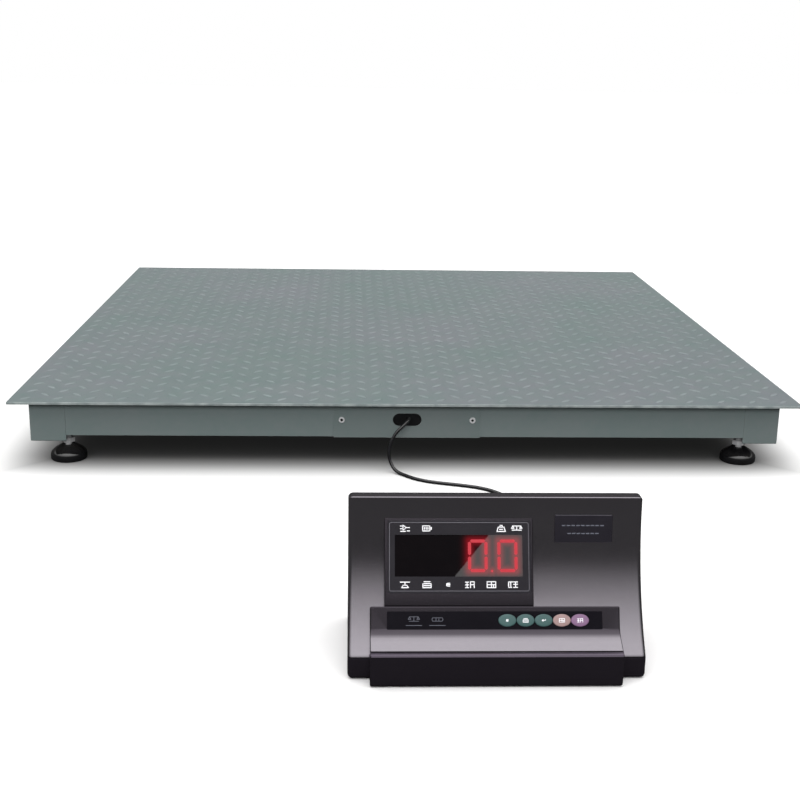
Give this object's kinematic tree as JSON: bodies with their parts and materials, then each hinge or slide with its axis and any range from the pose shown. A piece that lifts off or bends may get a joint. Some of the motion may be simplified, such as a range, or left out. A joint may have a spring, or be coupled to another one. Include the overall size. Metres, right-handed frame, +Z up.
{
  "type": "pallet scale",
  "caption": "Low-profile square pallet scale with a treaded deck on levelling feet and a desk indicator on a signal cable.",
  "frame": {"origin": "centre of the footprint of platform and indicator, on the floor", "axes": "+Z up, +Y from the indicator towards the platform's rear, +X to the right as seen from the indicator's front"},
  "size_m": [1.2, 1.874, 0.178],
  "materials": {
    "painted_steel": "satin grey-green paint over steel, lightly mottled",
    "zinc_steel": "bright zinc plating",
    "cell_steel": "nickel-plated alloy steel",
    "bare_steel": "dark primed steel",
    "gloss_black": "glossy black moulding",
    "box_grey": "grey moulded box",
    "board_green": "green solder mask",
    "cable_jacket": "satin black jacket",
    "black_nylon": "black moulded nylon",
    "clip_nylon": "natural nylon",
    "black_abs": "satin charcoal ABS with a fine texture",
    "smoked_window": "glossy smoked window with a printed border",
    "led_black": "black LED housing",
    "label_film": "dark label film",
    "keypad_film": "dark keypad film",
    "key_green": "muted green key",
    "key_tan": "tan key",
    "key_violet": "violet key",
    "laminations": "varnished steel laminations",
    "battery_case": "dark grey battery case",
    "foot_rubber": "black rubber"
  },
  "bodies": {
    "platform": {"deck_plate": "painted_steel", "side_channel_left": "painted_steel", "side_channel_right": "painted_steel", "front_beam": "painted_steel", "rear_beam": "painted_steel", "deck_ribs": "painted_steel", "access_cover": "painted_steel", "cover_screws": "zinc_steel", "load_cell_front_left": "cell_steel", "load_cell_front_right": "cell_steel", "load_cell_rear_left": "cell_steel", "load_cell_rear_right": "cell_steel", "cell_spacers": "bare_steel", "cell_bolts": "zinc_steel", "lock_nuts": "zinc_steel", "junction_box": "box_grey", "junction_lid": "box_grey", "summing_board": "board_green", "lead_glands": "black_nylon", "cell_leads": "cable_jacket", "lead_clips": "clip_nylon", "cable_gland": "black_nylon", "signal_cable": "cable_jacket", "cable_coil": "cable_jacket", "cable_tail": "cable_jacket"},
    "indicator": {"top_shell": "black_abs", "base_shell": "black_abs", "display_window": "smoked_window", "display_module": "led_black", "label_plate": "label_film", "keypad_bezel": "keypad_film", "keypad_board": "board_green", "main_board": "board_green", "transformer": "laminations", "battery": "battery_case", "battery_cover": "black_abs", "signal_socket": "zinc_steel", "serial_port": "zinc_steel", "power_inlet": "black_nylon", "fuse_holder": "black_nylon", "rocker_housing": "black_nylon", "rubber_feet": "foot_rubber", "shell_screws": "zinc_steel", "signal_plug": "zinc_steel", "plug_boot": "cable_jacket"},
    "foot_pad_front_left": {"foot_pad_front_left": "gloss_black"},
    "foot_stud_front_left": {"foot_stud_front_left": "zinc_steel"},
    "foot_pad_front_right": {"foot_pad_front_right": "gloss_black"},
    "foot_stud_front_right": {"foot_stud_front_right": "zinc_steel"},
    "foot_pad_rear_left": {"foot_pad_rear_left": "gloss_black"},
    "foot_stud_rear_left": {"foot_stud_rear_left": "zinc_steel"},
    "foot_pad_rear_right": {"foot_pad_rear_right": "gloss_black"},
    "foot_stud_rear_right": {"foot_stud_rear_right": "zinc_steel"},
    "key_1": {"key_1": "key_green"},
    "key_2": {"key_2": "key_green"},
    "key_3": {"key_3": "key_green"},
    "key_4": {"key_4": "key_tan"},
    "key_5": {"key_5": "key_violet"},
    "power_rocker": {"power_rocker": "black_nylon"}
  },
  "joints": [
    {"name": "indicator_lift", "type": "slide", "parent": "platform", "child": "indicator", "axis": [0, 0, 1], "range_m": [0, 0.05]},
    {"name": "foot_height_front_left", "type": "slide", "parent": "platform", "child": "foot_pad_front_left", "axis": [0, 0, 1], "range_m": [-0.005, 0.005]},
    {"name": "stud_turn_front_left", "type": "hinge", "parent": "foot_pad_front_left", "child": "foot_stud_front_left", "pos_m": [-0.524, -0.207, 0.017], "axis": [0, 0, 1], "range_deg": [-1030, 1030]},
    {"name": "foot_height_front_right", "type": "slide", "parent": "platform", "child": "foot_pad_front_right", "axis": [0, 0, 1], "range_m": [-0.005, 0.005]},
    {"name": "stud_turn_front_right", "type": "hinge", "parent": "foot_pad_front_right", "child": "foot_stud_front_right", "pos_m": [0.524, -0.207, 0.017], "axis": [0, 0, 1], "range_deg": [-1030, 1030]},
    {"name": "foot_height_rear_left", "type": "slide", "parent": "platform", "child": "foot_pad_rear_left", "axis": [0, 0, 1], "range_m": [-0.005, 0.005]},
    {"name": "stud_turn_rear_left", "type": "hinge", "parent": "foot_pad_rear_left", "child": "foot_stud_rear_left", "pos_m": [-0.524, 0.881, 0.017], "axis": [0, 0, 1], "range_deg": [-1030, 1030]},
    {"name": "foot_height_rear_right", "type": "slide", "parent": "platform", "child": "foot_pad_rear_right", "axis": [0, 0, 1], "range_m": [-0.005, 0.005]},
    {"name": "stud_turn_rear_right", "type": "hinge", "parent": "foot_pad_rear_right", "child": "foot_stud_rear_right", "pos_m": [0.524, 0.881, 0.017], "axis": [0, 0, 1], "range_deg": [-1030, 1030]},
    {"name": "key_1_press", "type": "slide", "parent": "indicator", "child": "key_1", "axis": [0, 0.91, -0.4147], "range_m": [0, 0.0008], "stiffness_N_per_m": 900, "springref_m": -0.0006},
    {"name": "key_2_press", "type": "slide", "parent": "indicator", "child": "key_2", "axis": [0, 0.91, -0.4147], "range_m": [0, 0.0008], "stiffness_N_per_m": 900, "springref_m": -0.0006},
    {"name": "key_3_press", "type": "slide", "parent": "indicator", "child": "key_3", "axis": [0, 0.91, -0.4147], "range_m": [0, 0.0008], "stiffness_N_per_m": 900, "springref_m": -0.0006},
    {"name": "key_4_press", "type": "slide", "parent": "indicator", "child": "key_4", "axis": [0, 0.91, -0.4147], "range_m": [0, 0.0008], "stiffness_N_per_m": 900, "springref_m": -0.0006},
    {"name": "key_5_press", "type": "slide", "parent": "indicator", "child": "key_5", "axis": [0, 0.91, -0.4147], "range_m": [0, 0.0008], "stiffness_N_per_m": 900, "springref_m": -0.0006},
    {"name": "power_rocker_tilt", "type": "hinge", "parent": "indicator", "child": "power_rocker", "pos_m": [-0.052, -0.776, 0.066], "axis": [-1, 0, 0], "range_deg": [0, 22]}
  ],
  "couplings": [
    {"joint": "stud_turn_front_left", "follows": "foot_height_front_left", "rad_per_m": 3590.4},
    {"joint": "stud_turn_front_right", "follows": "foot_height_front_right", "rad_per_m": 3590.4},
    {"joint": "stud_turn_rear_left", "follows": "foot_height_rear_left", "rad_per_m": 3590.4},
    {"joint": "stud_turn_rear_right", "follows": "foot_height_rear_right", "rad_per_m": 3590.4}
  ]
}
